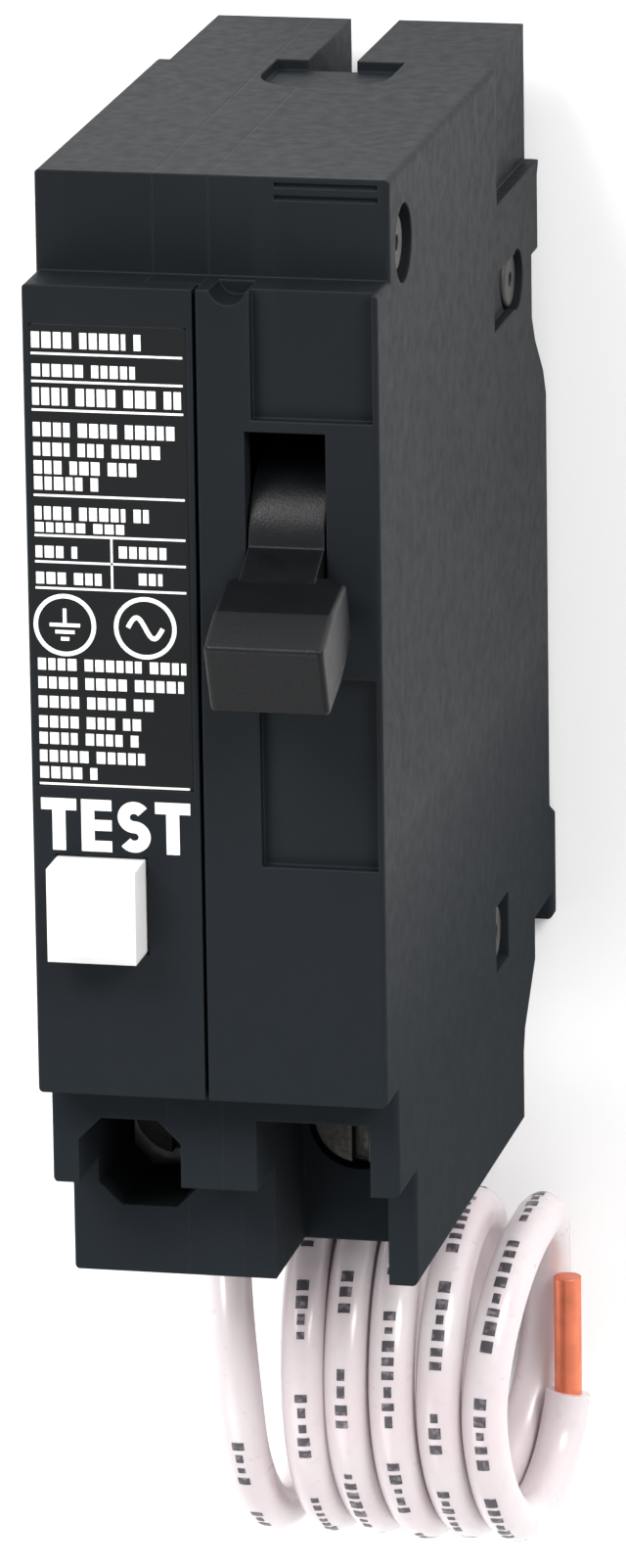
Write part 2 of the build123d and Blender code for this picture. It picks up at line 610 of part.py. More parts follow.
def wire(points, radii, radius):
    """A round wire along straight runs joined by tangent arcs."""
    with BuildLine(mode=Mode.PRIVATE) as route:
        FilletPolyline(*points, radius=radii)
    with BuildSketch(Plane(origin=route.line @ 0, z_dir=route.line % 0), mode=Mode.PRIVATE) as section:
        Circle(radius)
    sweep(section.sketch, path=route.line)


LEAD_R = 0.95
LEAD_END_Z = WIRE_Z - WIRE_R - LEAD_R - 0.05  # meets the terminals below their bores
BRAID = [
    (8.4, 10.4, 34.0),
    (10.2, 6.0, 31.0),
    (10.2, -1.5, 38.0),
    (10.2, -9.9, 45.6),
    (7.8, -9.9, 45.6),
]
with BuildPart() as load_braid:
    wire(BRAID, 1.2, 0.75)
finish(load_braid, "load_braid")

LOAD_LEAD = [
    (6.2, -10.5, 15.0),
    (6.2, -5.5, 15.0),
    (-5.4, -5.5, 22.0),
    (-5.4, -18.6, 22.0),
    (-1.0, -18.6, 24.2),
    (6.4, -20.6, 29.6),
    (6.4, -25.8, LEAD_END_Z),
    (6.4, TERMINAL_Y[1], LEAD_END_Z),
]
with BuildPart() as load_lead:
    wire(LOAD_LEAD, 1.4, LEAD_R)
finish(load_lead, "load_lead")

NEUTRAL_LEAD = [
    (-7.2, TERMINAL_Y[1], LEAD_END_Z),
    (-7.2, -26.1, LEAD_END_Z),
    (-7.5, -25.8, 27.4),
    (-7.6, -20.4, 27.2),
    (-7.6, -18.6, 22.0),
    (-7.6, -7.5, 22.0),
    (-9.2, -6.8, 13.5),
    (-9.2, -28.0, 13.6),
    (-9.2, -33.4, GLAND_Z),
    (-9.2, -39.2, GLAND_Z),
]
with BuildPart() as neutral_lead:
    wire(NEUTRAL_LEAD, 1.0, LEAD_R)
finish(neutral_lead, "neutral_lead")


# ---------------------------------------------------------------- terminals
def terminal(x):
    block((x - 4, x + 4), TERMINAL_Y, TERMINAL_Z)
    rod((x, TERMINAL_Y[0] - 1, WIRE_Z), (x, TERMINAL_Y[1] + 1, WIRE_Z), WIRE_R, Mode.SUBTRACT)
    rod((x, SCREW_Y, WIRE_Z), (x, SCREW_Y, TERMINAL_Z[1] + 1), SCREW_R + RUNNING, Mode.SUBTRACT)


def screw(x):
    head = TERMINAL_Z[1] + 0.2
    rod((x, SCREW_Y, WIRE_Z + WIRE_R + 0.2), (x, SCREW_Y, head), SCREW_R)
    rod((x, SCREW_Y, head), (x, SCREW_Y, head + 2.2), SCREW_HEAD_R)
    block((x - 0.6, x + 0.6), (SCREW_Y - 4, SCREW_Y + 4), (head + 1.0, head + 3), Mode.SUBTRACT)


with BuildPart() as neutral_terminal:
    terminal(NEUTRAL_X)
finish(neutral_terminal, "neutral_terminal")

with BuildPart() as load_terminal:
    terminal(LOAD_X)
finish(load_terminal, "load_terminal")

with BuildPart() as neutral_screw:
    screw(NEUTRAL_X)
finish(neutral_screw, "neutral_screw")

with BuildPart() as load_screw:
    screw(LOAD_X)
finish(load_screw, "load_screw")

# ---------------------------------------------------------------- current sensors
for core_name, core_y in (("ground_core", (-17.2, -14.3)), ("sensor_core", (-13.1, -10.2))):
    with BuildPart() as core:
        rod((CORE_X, core_y[0], CORE_Z), (CORE_X, core_y[1], CORE_Z), 4.5)
        rod((CORE_X, core_y[0] - 1, CORE_Z), (CORE_X, core_y[1] + 1, CORE_Z), 2.3, Mode.SUBTRACT)
        fillet(core.edges(), 0.5)
    finish(core, core_name)

# ---------------------------------------------------------------- trip solenoid
COIL_X = -6.5
COIL_Y = (-23.4, -10.6)
with BuildPart() as coil_bobbin:
    rod((COIL_X, COIL_Y[0], COIL_Z), (COIL_X, COIL_Y[1], COIL_Z), 2.2)
    for y in (COIL_Y[0], COIL_Y[1] - 0.8):
        rod((COIL_X, y, COIL_Z), (COIL_X, y + 0.8, COIL_Z), 4.2)
    rod((COIL_X, COIL_Y[0] - 1, COIL_Z), (COIL_X, COIL_Y[1] + 1, COIL_Z), PLUNGER_R + 0.2, Mode.SUBTRACT)
finish(coil_bobbin, "coil_bobbin")

with BuildPart() as trip_coil:
    rod((COIL_X, COIL_Y[0] + 0.8, COIL_Z), (COIL_X, COIL_Y[1] - 0.8, COIL_Z), 3.9)
    rod((COIL_X, COIL_Y[0], COIL_Z), (COIL_X, COIL_Y[1], COIL_Z), 2.2, Mode.SUBTRACT)
finish(trip_coil, "trip_coil")

FRAME_X = (-10.9, -2.1)
with BuildPart() as coil_frame:
    for y in ((COIL_Y[0] - 1.0, COIL_Y[0]), (COIL_Y[1], COIL_Y[1] + 1.0)):
        block(FRAME_X, y, (COIL_Z - 4.3, COIL_Z + 5.3))
    block(FRAME_X, (COIL_Y[0] - 1.0, COIL_Y[1] + 1.0), (COIL_Z + 4.3, COIL_Z + 5.3))
    rod((COIL_X, COIL_Y[0] - 2, COIL_Z), (COIL_X, COIL_Y[1] + 2, COIL_Z), PLUNGER_R + RUNNING, Mode.SUBTRACT)
finish(coil_frame, "coil_frame")

FINGER_Y = (ARMATURE_Y + 0.75, ARMATURE_Y + 1.95)
with BuildPart() as trip_plunger:
    rod((COIL_X, COIL_Y[0] + 2.0, COIL_Z), (COIL_X, FINGER_Y[0], COIL_Z), PLUNGER_R)
    block((COIL_X - PLUNGER_R, 2.4), FINGER_Y, (COIL_Z - PLUNGER_R, COIL_Z + PLUNGER_R))
finish(trip_plunger, "trip_plunger")

# ---------------------------------------------------------------- circuit board
BOARD_X = (-11.2, -10.0)
with BuildPart() as circuit_board:
    block(BOARD_X, (-4.5, 34.0), (8.4, 57.0))
    block((BOARD_X[0] - 1, BOARD_X[1] + 1), (28.0, 35.0), (4.0, 23.0), Mode.SUBTRACT)
    block((BOARD_X[0] - 1, BOARD_X[1] + 1), (30.5, 35.0), (49.5, 60.0), Mode.SUBTRACT)
    block((BOARD_X[0] - 1, BOARD_X[1] + 1), (15.0, 35.0), (4.0, 18.0), Mode.SUBTRACT)
finish(circuit_board, "circuit_board")

with BuildPart() as control_chip:
    block((BOARD_X[1] + 0.4, BOARD_X[1] + 2.0), (6.0, 12.0), (24.0, 33.0))
    for z in [24.8 + 1.27 * i for i in range(7)]:
        for y in ((4.8, 6.1), (11.9, 13.2)):
            block((BOARD_X[1], BOARD_X[1] + 1.0), y, (z, z + 0.4))
finish(control_chip, "control_chip")

with BuildPart() as capacitors:
    for y, z, radius, height in (
        (21.0, 44.0, 2.8, 7.0),
        (27.5, 44.0, 2.8, 7.0),
        (24.0, 29.0, 2.0, 5.0),
    ):
        rod_x((y, z), (BOARD_X[1], BOARD_X[1] + height), radius)
    fillet(capacitors.faces().filter_by(Axis.X).group_by(Axis.X)[-1].edges(), 0.4)
finish(capacitors, "capacitors")

with BuildPart() as resistors:
    for y in (0.0, 3.0, 16.0, 18.6):
        rod((BOARD_X[1] + 1.1, y, 36.0), (BOARD_X[1] + 1.1, y, 40.0), 0.9)
        rod((BOARD_X[1] + 1.1, y, 34.6), (BOARD_X[1] + 1.1, y, 41.4), 0.25)
        for z in (34.6, 41.4):
            block((BOARD_X[1], BOARD_X[1] + 1.35), (y - 0.25, y + 0.25), (z - 0.25, z + 0.25))
finish(resistors, "resistors")

with BuildPart() as surge_disc:
    rod_x((5.0, 49.0), (BOARD_X[1] + 1.0, BOARD_X[1] + 3.8), 4.4)
    fillet(surge_disc.edges().filter_by(GeomType.CIRCLE), 0.6)
    for y in (2.6, 7.4):
        block((BOARD_X[1], BOARD_X[1] + 2.0), (y - 0.3, y + 0.3), (46.8, 47.4))
finish(surge_disc, "surge_disc")

with BuildPart() as trip_thyristor:
    with BuildSketch(Plane.XY.offset(13.0)):
        with Locations((BOARD_X[1] + 2.6, 4.0)):
            Circle(2.3)
            with Locations((-2.3, 0)):
                Rectangle(3.0, 6.0, mode=Mode.SUBTRACT)
    extrude(amount=4.6)
    for y in (2.8, 4.0, 5.2):
        block((BOARD_X[1] + 2.4, BOARD_X[1] + 2.9), (y - 0.22, y + 0.22), (11.4, 13.0))
        block((BOARD_X[1], BOARD_X[1] + 2.9), (y - 0.22, y + 0.22), (11.0, 11.45))
finish(trip_thyristor, "trip_thyristor")

# ---------------------------------------------------------------- test button
BUTTON_AXIS = (sum(BUTTON_X) / 2, sum(BUTTON_Y) / 2)
FLANGE_Z = (PLATE_Z - 2.2, PLATE_Z - 1.1)
with BuildPart() as test_button:
    block(BUTTON_X, BUTTON_Y, (BUTTON_FOOT, BUTTON_TOP))
    chamfer(test_button.faces().sort_by(Axis.Z)[-1].edges(), 0.7)
    block(BUTTON_X, (BUTTON_Y[0] - 1.0, BUTTON_Y[1] + 1.0), FLANGE_Z)
    rod((*BUTTON_AXIS, BUTTON_FOOT - 1), (*BUTTON_AXIS, PLATE_Z), 2.6, Mode.SUBTRACT)
finish(test_button, "test_button")

with BuildPart() as test_spring:
    coil_spring((*BUTTON_AXIS, 50.9), (*BUTTON_AXIS, 61.7), 2.0, 6, 0.5)
finish(test_spring, "test_spring")

with BuildPart() as test_blade:
    block((-5.6, -2.3), (-9.2, -7.2), (55.4, 55.8))
    block((-2.7, -2.3), (-9.2, -7.2), (49.0, 55.8))
finish(test_blade, "test_blade")

# ---------------------------------------------------------------- pigtail
GLAND_FACE = -HALF_HEIGHT - 1.9
with BuildPart() as pigtail_gland:
    rod((GLAND_X, -HALF_HEIGHT, GLAND_Z), (GLAND_X, -39.7, GLAND_Z), 2.6)
    rod((GLAND_X, GLAND_FACE, GLAND_Z), (GLAND_X, -HALF_HEIGHT, GLAND_Z), 3.1)
    fillet(pigtail_gland.edges().filter_by(GeomType.CIRCLE).group_by(Axis.Y)[0], 0.8)
    rod((GLAND_X, GLAND_FACE - 1, GLAND_Z), (GLAND_X, -38, GLAND_Z), WIRE_D / 2 + 0.02, Mode.SUBTRACT)
finish(pigtail_gland, "pigtail_gland")

PIGTAIL = [
    (GLAND_X, -39.6, GLAND_Z),
    (GLAND_X, -46.0, GLAND_Z),
    (-8.7, -50.6, 21.4),
    (-7.8, -55.0, 24.4),
    (-7.0, LOOP_Y, LOOP_Z + LOOP_R),
]


def arc_radii(points, share=0.45):
    """The largest arc for each corner of a route."""
    corners = [Vector(*p) for p in points]
    radii = []
    for before, corner, after in zip(corners, corners[1:], corners[2:]):
        turn = radians((corner - before).get_angle(after - corner))
        radii.append(share * min((corner - before).length, (after - corner).length) / tan(turn / 2))
    return radii


print("pigtail arcs", [round(r, 1) for r in arc_radii(PIGTAIL)])
with BuildPart() as pigtail_tube:
    wire(PIGTAIL, arc_radii(PIGTAIL), WIRE_D / 2)
finish(pigtail_tube, "pigtail_tube")

COIL_SPAN_X = (-8.75, 15.9)
with BuildPart() as pigtail_coil:
    rod_x((LOOP_Y, LOOP_Z), COIL_SPAN_X, LOOP_R + WIRE_D / 2)
    rod_x((LOOP_Y, LOOP_Z), (COIL_SPAN_X[0] - 1, COIL_SPAN_X[1] + 1), LOOP_R - WIRE_D / 2, Mode.SUBTRACT)
finish(pigtail_coil, "pigtail_coil")

with BuildPart() as pigtail_end:
    rod((14.4, -65.6, 5.7), (14.4, -56.1, 5.7), COPPER_R)
finish(pigtail_end, "pigtail_end")
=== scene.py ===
"""Looks of a single-pole plug-on GFCI breaker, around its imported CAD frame.

+X is across the case, +Y towards the line end, +Z out of the label face. Lengths marked MM are millimetres.
"""

import json
import math
import random

import bmesh
import bpy
from mathutils import Matrix, Vector


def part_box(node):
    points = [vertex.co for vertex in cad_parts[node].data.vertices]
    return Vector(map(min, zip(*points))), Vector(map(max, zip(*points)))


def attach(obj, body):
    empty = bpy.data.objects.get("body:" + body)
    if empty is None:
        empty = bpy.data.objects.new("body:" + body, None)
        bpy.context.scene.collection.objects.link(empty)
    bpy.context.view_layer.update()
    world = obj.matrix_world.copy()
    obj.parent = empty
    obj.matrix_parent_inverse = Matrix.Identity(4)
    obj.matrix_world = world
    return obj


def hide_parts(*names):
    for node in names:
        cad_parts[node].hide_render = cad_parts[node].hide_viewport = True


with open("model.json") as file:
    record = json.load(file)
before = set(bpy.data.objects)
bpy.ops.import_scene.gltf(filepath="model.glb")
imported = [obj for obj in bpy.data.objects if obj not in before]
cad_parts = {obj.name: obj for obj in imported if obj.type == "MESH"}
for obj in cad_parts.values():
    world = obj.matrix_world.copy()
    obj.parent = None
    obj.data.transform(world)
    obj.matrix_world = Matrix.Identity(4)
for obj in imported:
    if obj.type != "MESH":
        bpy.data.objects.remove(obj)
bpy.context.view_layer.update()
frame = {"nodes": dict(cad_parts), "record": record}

MM = 0.001
nodes = frame["nodes"]

# ---------------------------------------------------------------- camera
CAMERA_AT = (0.16025, 0.19894, 0.76526)
CAMERA_BACK = (0.20476, 0.26860, 0.94123)  # from the object to the camera
CAMERA_RIGHT = (0.97714, 0.0, -0.21257)
CAMERA_ROLL = -0.01466543
LENS = 243.85
SENSOR = 36.0


def make_camera():
    """A long lens above the label face, to the right and towards the line end."""
    back, right = Vector(CAMERA_BACK), Vector(CAMERA_RIGHT)
    up = back.cross(right).normalized()
    cosine, sine = math.cos(CAMERA_ROLL), math.sin(CAMERA_ROLL)
    axes = Matrix((right * cosine + up * sine, up * cosine - right * sine, back)).transposed()
    camera = bpy.data.objects.new("camera", bpy.data.cameras.new("camera"))
    camera.data.lens = LENS
    camera.data.sensor_width = SENSOR
    camera.data.clip_start = 0.05
    camera.matrix_world = Matrix.Translation(CAMERA_AT) @ axes.to_4x4()
    bpy.context.scene.collection.objects.link(camera)
    bpy.context.scene.camera = camera


make_camera()


# ---------------------------------------------------------------- node helpers
def set_range(node, start, end, low, high):
    """Make a map-range node turn start to end into low to high."""
    for key, number in (("From Min", start), ("From Max", end), ("To Min", low), ("To Max", high)):
        node.inputs[key].default_value = number


class Graph:
    """A material's nodes, with short ways to add and join them."""

    def __init__(self, name, color, roughness, metallic=0.0):
        self.material = bpy.data.materials.new(name)
        self.material.use_nodes = True
        self.tree = self.material.node_tree
        self.shader = self.tree.nodes["Principled BSDF"]
        self.shader.inputs["Base Color"].default_value = (*color, 1)
        self.shader.inputs["Roughness"].default_value = roughness
        self.shader.inputs["Metallic"].default_value = metallic
        self.place = self.add("ShaderNodeTexCoord").outputs["Object"]

    def add(self, kind, **settings):
        node = self.tree.nodes.new(kind)
        for key, value in settings.items():
            setattr(node, key, value)
        return node

    def join(self, source, target):
        self.tree.links.new(source, target)

    def stretched(self, scale):
        mapping = self.add("ShaderNodeMapping")
        mapping.inputs["Scale"].default_value = scale
        self.join(self.place, mapping.inputs["Vector"])
        return mapping.outputs["Vector"]

    def noise(self, scale, detail=3.0, place=None):
        node = self.add("ShaderNodeTexNoise")
        node.inputs["Scale"].default_value = scale
        node.inputs["Detail"].default_value = detail
        self.join(place or self.place, node.inputs["Vector"])
        return node.outputs["Fac"]

    def span(self, value, low, high, start=0.3, end=0.7):
        """A value between start and end becomes one between low and high."""
        node = self.add("ShaderNodeMapRange")
        set_range(node, start, end, low, high)
        self.join(value, node.inputs["Value"])
        return node.outputs["Result"]

    def mix(self, factor, color_a, color_b):
        node = self.add("ShaderNodeMix", data_type="RGBA")
        for key, value in ((6, color_a), (7, color_b)):
            if isinstance(value, tuple):
                node.inputs[key].default_value = (*value, 1)
            else:
                self.join(value, node.inputs[key])
        self.join(factor, node.inputs[0])
        return node.outputs[2]

    def edges(self, radius):
        """1 on edges sharper than the radius, 0 on flat faces, with the rounded normal."""
        bevel = self.add("ShaderNodeBevel", samples=6)
        bevel.inputs["Radius"].default_value = radius
        geometry = self.add("ShaderNodeNewGeometry")
        dot = self.add("ShaderNodeVectorMath", operation="DOT_PRODUCT")
        self.join(bevel.outputs["Normal"], dot.inputs[0])
        self.join(geometry.outputs["Normal"], dot.inputs[1])
        return self.span(dot.outputs["Value"], 1.0, 0.0, 0.80, 0.995), bevel.outputs["Normal"]

    def bump(self, height, distance, strength=1.0, normal=None):
        node = self.add("ShaderNodeBump")
        node.inputs["Distance"].default_value = distance
        node.inputs["Strength"].default_value = strength
        self.join(height, node.inputs["Height"])
        if normal:
            self.join(normal, node.inputs["Normal"])
        return node.outputs["Normal"]

    def set(self, **sockets):
        names = {"color": "Base Color", "roughness": "Roughness", "normal": "Normal"}
        for key, value in sockets.items():
            self.join(value, self.shader.inputs[names[key]])
        return self.material


def scaled(color, factor):
    return tuple(min(1.0, channel * factor) for channel in color)


# ---------------------------------------------------------------- materials
# y, in metres, from where the case's plastic is fully painted paler (painted light) and duller to where it
# isn't at all
PAINTED_LIGHT_Y = (-0.03, 0.01)
DULL_Y = (-0.028, -0.006)


def moulded(name, color, roughness=0.5, edge_wear_and_highlight=1.7, grain=0.00003, specular=0.5, painted_light_and_duller=False):
    """Moulded plastic: cloudy colour, fine grain, faint scuffs, and edges lightened partly as wear and
    partly as a painted highlight.

    With the load-end option the colour is painted paler towards the load end, as painted light, and the
    plastic grows rougher towards it.
    """
    g = Graph(name, color, roughness)
    g.shader.inputs["Specular IOR Level"].default_value = specular
    cloud = g.span(g.noise(70, 4), 0, 1)
    body = g.mix(cloud, scaled(color, 0.9), scaled(color, 1.1))
    scuff = g.span(g.noise(420, 6, g.stretched((1, 0.12, 0.25))), 0, 0.3, 0.58, 0.8)
    body = g.mix(scuff, body, scaled(color, 1.6))
    rough = g.span(g.noise(900, 5), roughness - 0.04, roughness + 0.05)
    if painted_light_and_duller:
        axes = g.add("ShaderNodeSeparateXYZ")
        g.join(g.place, axes.inputs[0])
        # painted light: the colour is lightened towards the load end, standing in for light falling there
        pale = g.span(axes.outputs["Y"], 1, 0, *PAINTED_LIGHT_Y)
        body = g.mix(pale, body, scaled(color, 1.5))
        dull = g.add("ShaderNodeMath", operation="ADD")
        g.join(rough, dull.inputs[0])
        g.join(g.span(axes.outputs["Y"], 0.38, 0, *DULL_Y), dull.inputs[1])
        rough = dull.outputs["Value"]
    # edges are lightened in colour: partly wear, partly a painted highlight along the edge lines
    edge, rounded = g.edges(0.00022)
    body = g.mix(g.span(edge, 0, 0.75, 0.1, 1.0), body, scaled(color, edge_wear_and_highlight))
    return g.set(
        color=body,
        roughness=rough,
        normal=g.bump(g.noise(5200, 2), grain, 0.5, rounded),
    )


def metal(name, color, roughness=0.3, brush=(1, 1, 12), dull=0.7):
    """Rolled or plated metal: fine brushed lines and dull patches."""
    g = Graph(name, color, roughness, 1.0)
    patches = g.span(g.noise(420, 4), 0, 1)
    lines = g.noise(2600, 3, g.stretched(brush))
    _, rounded = g.edges(0.00012)
    return g.set(
        color=g.mix(patches, scaled(color, dull), color),
        roughness=g.span(lines, roughness - 0.08, roughness + 0.16),
        normal=g.bump(lines, 0.000012, 0.6, rounded),
    )


def glossy(name, color, roughness=0.28, variation=0.06):
    """Lacquered, dipped or jacketed plastic with a smooth skin."""
    g = Graph(name, color, roughness)
    cloud = g.span(g.noise(500, 4), 0, 1)
    return g.set(
        color=g.mix(cloud, scaled(color, 1 - variation), scaled(color, 1 + variation)),
        roughness=g.span(g.noise(900, 3), roughness - 0.05, roughness + 0.08),
        normal=g.bump(g.noise(700, 2), 0.00003, 0.4),
    )


def insulation(name, color):
    """Wire insulation under a clear nylon jacket, faintly wavy and slightly translucent."""
    g = Graph(name, color, 0.34)
    g.shader.inputs["Subsurface Weight"].default_value = 0.1
    g.shader.inputs["Subsurface Radius"].default_value = (0.9, 0.6, 0.5)
    g.shader.inputs["Subsurface Scale"].default_value = 0.0008
    g.shader.inputs["Coat Weight"].default_value = 0.5
    g.shader.inputs["Coat Roughness"].default_value = 0.16
    cloud = g.span(g.noise(160, 4), 0, 1)
    grime = g.span(g.noise(900, 5), 0, 0.5, 0.55, 0.8)
    body = g.mix(cloud, color, (color[0], color[1] * 0.93, color[2] * 0.95))
    return g.set(
        color=g.mix(grime, body, scaled(color, 0.86)),
        roughness=g.span(g.noise(700, 3), 0.27, 0.42),
        normal=g.bump(g.noise(420, 3), 0.00006, 0.5),
    )


CASE_COLOR = (0.0078, 0.0098, 0.0118)
case_plastic = moulded("case_plastic", CASE_COLOR, 0.55, 2.8, specular=0.07, painted_light_and_duller=True)
# the handle's edges are painted far lighter, as painted highlight lines
handle_plastic = moulded("handle_plastic", (0.0028, 0.0032, 0.0040), 0.36, 12.0, specular=0.2)
button_plastic = moulded("button_plastic", (0.80, 0.80, 0.79), 0.32, 1.02, 0.00001)
label_film = moulded("label_film", (0.0028, 0.0036, 0.0044), 0.45, 1.3, 0.000015, 0.16)
white_insulation = insulation("white_insulation", (0.60, 0.55, 0.56))
MATERIALS = {
    "case_plastic": case_plastic,
    "handle_plastic": handle_plastic,
    "button_plastic": button_plastic,
    "label_film": label_film,
    "white_insulation": white_insulation,
    "copper": metal("copper", (0.90, 0.27, 0.15), 0.36),
    "contact_silver": metal("contact_silver", (0.80, 0.79, 0.76), 0.24),
    # steel is set far darker than plated steel, as painted shade for the screws deep in the dark terminal
    # openings
    "steel": metal("steel", (0.075, 0.073, 0.07), 0.5),
    "terminal_metal": metal("terminal_metal", (0.72, 0.72, 0.70), 0.36),
    "spring_bronze": metal("spring_bronze", (0.70, 0.47, 0.22), 0.30),
    "fibre": moulded("fibre", (0.20, 0.07, 0.045), 0.6, 1.3),
    "board": glossy("board", (0.02, 0.10, 0.035), 0.35, 0.15),
    "component_black": moulded("component_black", (0.02, 0.02, 0.02), 0.5, 1.8),
    "capacitor_sleeve": glossy("capacitor_sleeve", (0.02, 0.03, 0.14), 0.25),
    "resistor_body": glossy("resistor_body", (0.52, 0.38, 0.22), 0.35),
    "disc_coating": glossy("disc_coating", (0.55, 0.13, 0.02), 0.35),
    "nylon": moulded("nylon", (0.62, 0.58, 0.46), 0.45, 1.1),
    "core_coating": moulded("core_coating", (0.03, 0.08, 0.16), 0.45, 1.3),
    "lead_insulation": glossy("lead_insulation", (0.02, 0.02, 0.022), 0.35, 0.2),
    "grommet": moulded("grommet", (0.018, 0.018, 0.018), 0.6, 1.5),
}


def dress_frame():
    """Give every carried-over node the material of its slot in the record."""
    slots = {entry["node"]: entry["material_slot"] for entry in frame["record"]["subparts"]}
    for name, node in nodes.items():
        node.data.materials.clear()
        node.data.materials.append(MATERIALS[slots[name]])


dress_frame()


# ---------------------------------------------------------------- mesh helpers
def new_piece(name, mesh_builder, material, body):
    """An object from a bmesh, riding on a body, with the finish of a slot."""
    mesh = bpy.data.meshes.new(name)
    mesh_builder.to_mesh(mesh)
    mesh_builder.free()
    piece = bpy.data.objects.new(name, mesh)
    bpy.context.scene.collection.objects.link(piece)
    mesh.materials.append(material)
    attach(piece, body)
    return piece


def prism(b, outline, low, high):
    """A flat-sided solid over an outline of (x, y) points, from low to high in z."""
    bottom = [b.verts.new((x, y, low)) for x, y in outline]
    top = [b.verts.new((x, y, high)) for x, y in outline]
    b.faces.new(top)
    b.faces.new(bottom[::-1])
    for i in range(len(outline)):
        j = (i + 1) % len(outline)
        b.faces.new((bottom[i], bottom[j], top[j], top[i]))


def rectangle(x, y, width, height):
    return [(x, y), (x + width, y), (x + width, y + height), (x, y + height)]


def ribbon(points, width, closed=False):
    """The outline of a stroke of that width along a line of points."""
    sides = ([], [])
    count = len(points)
    for i, point in enumerate(points):
        before = points[i - 1] if i or closed else point
        after = points[(i + 1) % count] if i + 1 < count or closed else point
        run = (Vector(after) - Vector(before)).normalized()
        across = Vector((-run.y, run.x)) * width / 2
        sides[0].append(tuple(Vector(point) + across))
        sides[1].append(tuple(Vector(point) - across))
    return sides


def stroke(b, points, width, low, high, closed=False):
    """A raised stroke along a line of points, made of one prism a run."""
    left, right = ribbon(points, width, closed)
    last = len(points) if closed else len(points) - 1
    for i in range(last):
        j = (i + 1) % len(points)
        prism(b, [right[i], right[j], left[j], left[i]], low, high)


def arc(centre, radius, start, end, steps=24):
    """Points along an arc, in degrees, which may run either way."""
    angles = [math.radians(start + (end - start) * i / steps) for i in range(steps + 1)]
    return [(centre[0] + radius * math.cos(a), centre[1] + radius * math.sin(a)) for a in angles]


# ---------------------------------------------------------------- the label's print
FACE_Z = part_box("breaker_case")[1][2]
INK = 0.025 * MM
INK_Z = (FACE_Z, FACE_Z + INK)
label_low, label_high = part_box("rating_label")
PRINT_LEFT = label_low[0] + 0.15 * MM
PRINT_RIGHT = label_high[0] - 0.3 * MM
RULES = (29.15, 27.15, 25.1, 18.95, 16.05, 14.15, 12.25, -2.0)  # y of the white rules, MM
RULE_WIDTH = 0.16 * MM
DIVIDER_X = -6.6 * MM
# rows of print in MM: bottom, height, left end, right end
ROWS = (
    (29.55, 1.15, -12.0, -4.1),
    (27.5, 0.9, -12.0, -4.6),
    (25.45, 1.25, -12.0, -1.2),
    (23.2, 1.0, -12.0, -1.2),
    (21.8, 0.95, -12.0, -2.7),
    (20.5, 0.95, -12.0, -4.5),
    (19.35, 0.95, -12.0, -7.4),
    (17.2, 0.95, -12.0, -3.8),
    (16.3, 0.7, -12.0, -4.7),
    (14.45, 0.85, -12.0, -9.0),
    (14.6, 0.85, -6.0, -2.4),
    (12.55, 0.85, -12.0, -7.2),
    (12.7, 0.85, -4.6, -2.9),
    (6.3, 0.85, -12.0, -1.3),
    (4.95, 0.85, -12.0, -1.5),
    (3.55, 0.85, -12.0, -3.7),
    (2.1, 0.85, -12.0, -4.4),
    (0.9, 0.85, -12.0, -4.8),
    (-0.4, 0.85, -12.0, -4.0),
    (-1.6, 0.85, -12.0, -7.7),
)
SYMBOL_Y = 9.6
SYMBOL_R = 2.1


def print_row(b, row, draw):
    """A row of plain blocks in groups, standing for lines of small print."""
    bottom, height, x, right = (value * MM for value in row)
    while x < right:
        group_end = min(right, x + draw.uniform(2.0, 4.2) * MM)
        while x < group_end - 0.3 * MM:
            width = min(draw.uniform(0.48, 0.66) * MM, group_end - x)
            prism(b, rectangle(x, bottom, width, height), *INK_Z)
            x += width + 0.17 * MM
        x += 0.42 * MM


def print_symbols(b):
    """Two ringed symbols of general use: an earth symbol and a sine wave."""
    earth = Vector((-10.0, SYMBOL_Y))
    wave = Vector((-4.2, SYMBOL_Y))
    for centre in (earth, wave):
        ring = arc(centre * MM, SYMBOL_R * MM, 0, 360, 48)[:-1]
        stroke(b, ring, 0.32 * MM, *INK_Z, closed=True)
    for drop, half in ((0.0, 1.1), (-0.5, 0.7), (-1.0, 0.3)):
        left, low = earth.x - half, earth.y + drop - 0.13
        prism(b, rectangle(left * MM, low * MM, 2 * half * MM, 0.26 * MM), *INK_Z)
    prism(b, rectangle((earth.x - 0.13) * MM, (earth.y + 0.1) * MM, 0.26 * MM, 1.1 * MM), *INK_Z)
    steps = 24
    line = []
    for i in range(steps + 1):
        share = i / steps
        rise = 0.75 * math.sin(2 * math.pi * share)
        line.append(((wave.x - 1.25 + 2.5 * share) * MM, (wave.y + rise) * MM))
    stroke(b, line, 0.34 * MM, *INK_Z)


def print_word(b):
    """The word that names the button below it, in plain heavy capitals."""
    low, high = -6.85 * MM, -3.05 * MM
    width = 0.95 * MM
    middle = (low + high) / 2
    height = high - low

    def letter_t(x, across):
        prism(b, rectangle(x, high - 0.85 * MM, across, 0.85 * MM), *INK_Z)
        prism(b, rectangle(x + (across - width) / 2, low, width, height - 0.85 * MM), *INK_Z)

    def letter_e(x, across):
        prism(b, rectangle(x, low, width, height), *INK_Z)
        for y in (low, middle - 0.37 * MM, high - 0.8 * MM):
            prism(b, rectangle(x + width, y, across - width, 0.8 * MM), *INK_Z)

    def letter_s(x, across):
        radius = (height - width) / 4
        centre = x + across / 2
        half = across / 2 - width / 2
        upper, lower = high - width / 2 - radius, low + width / 2 + radius
        points = arc((0, upper), radius, 35, 270, 20) + arc((0, lower), radius, 90, -145, 20)[1:]
        wide = [(centre + px * half / radius, py) for px, py in points]
        stroke(b, wide, width * 0.92, *INK_Z)

    letter_t(-12.0 * MM, 2.55 * MM)
    letter_e(-9.1 * MM, 2.2 * MM)
    letter_s(-6.5 * MM, 2.45 * MM)
    letter_t(-3.75 * MM, 2.55 * MM)


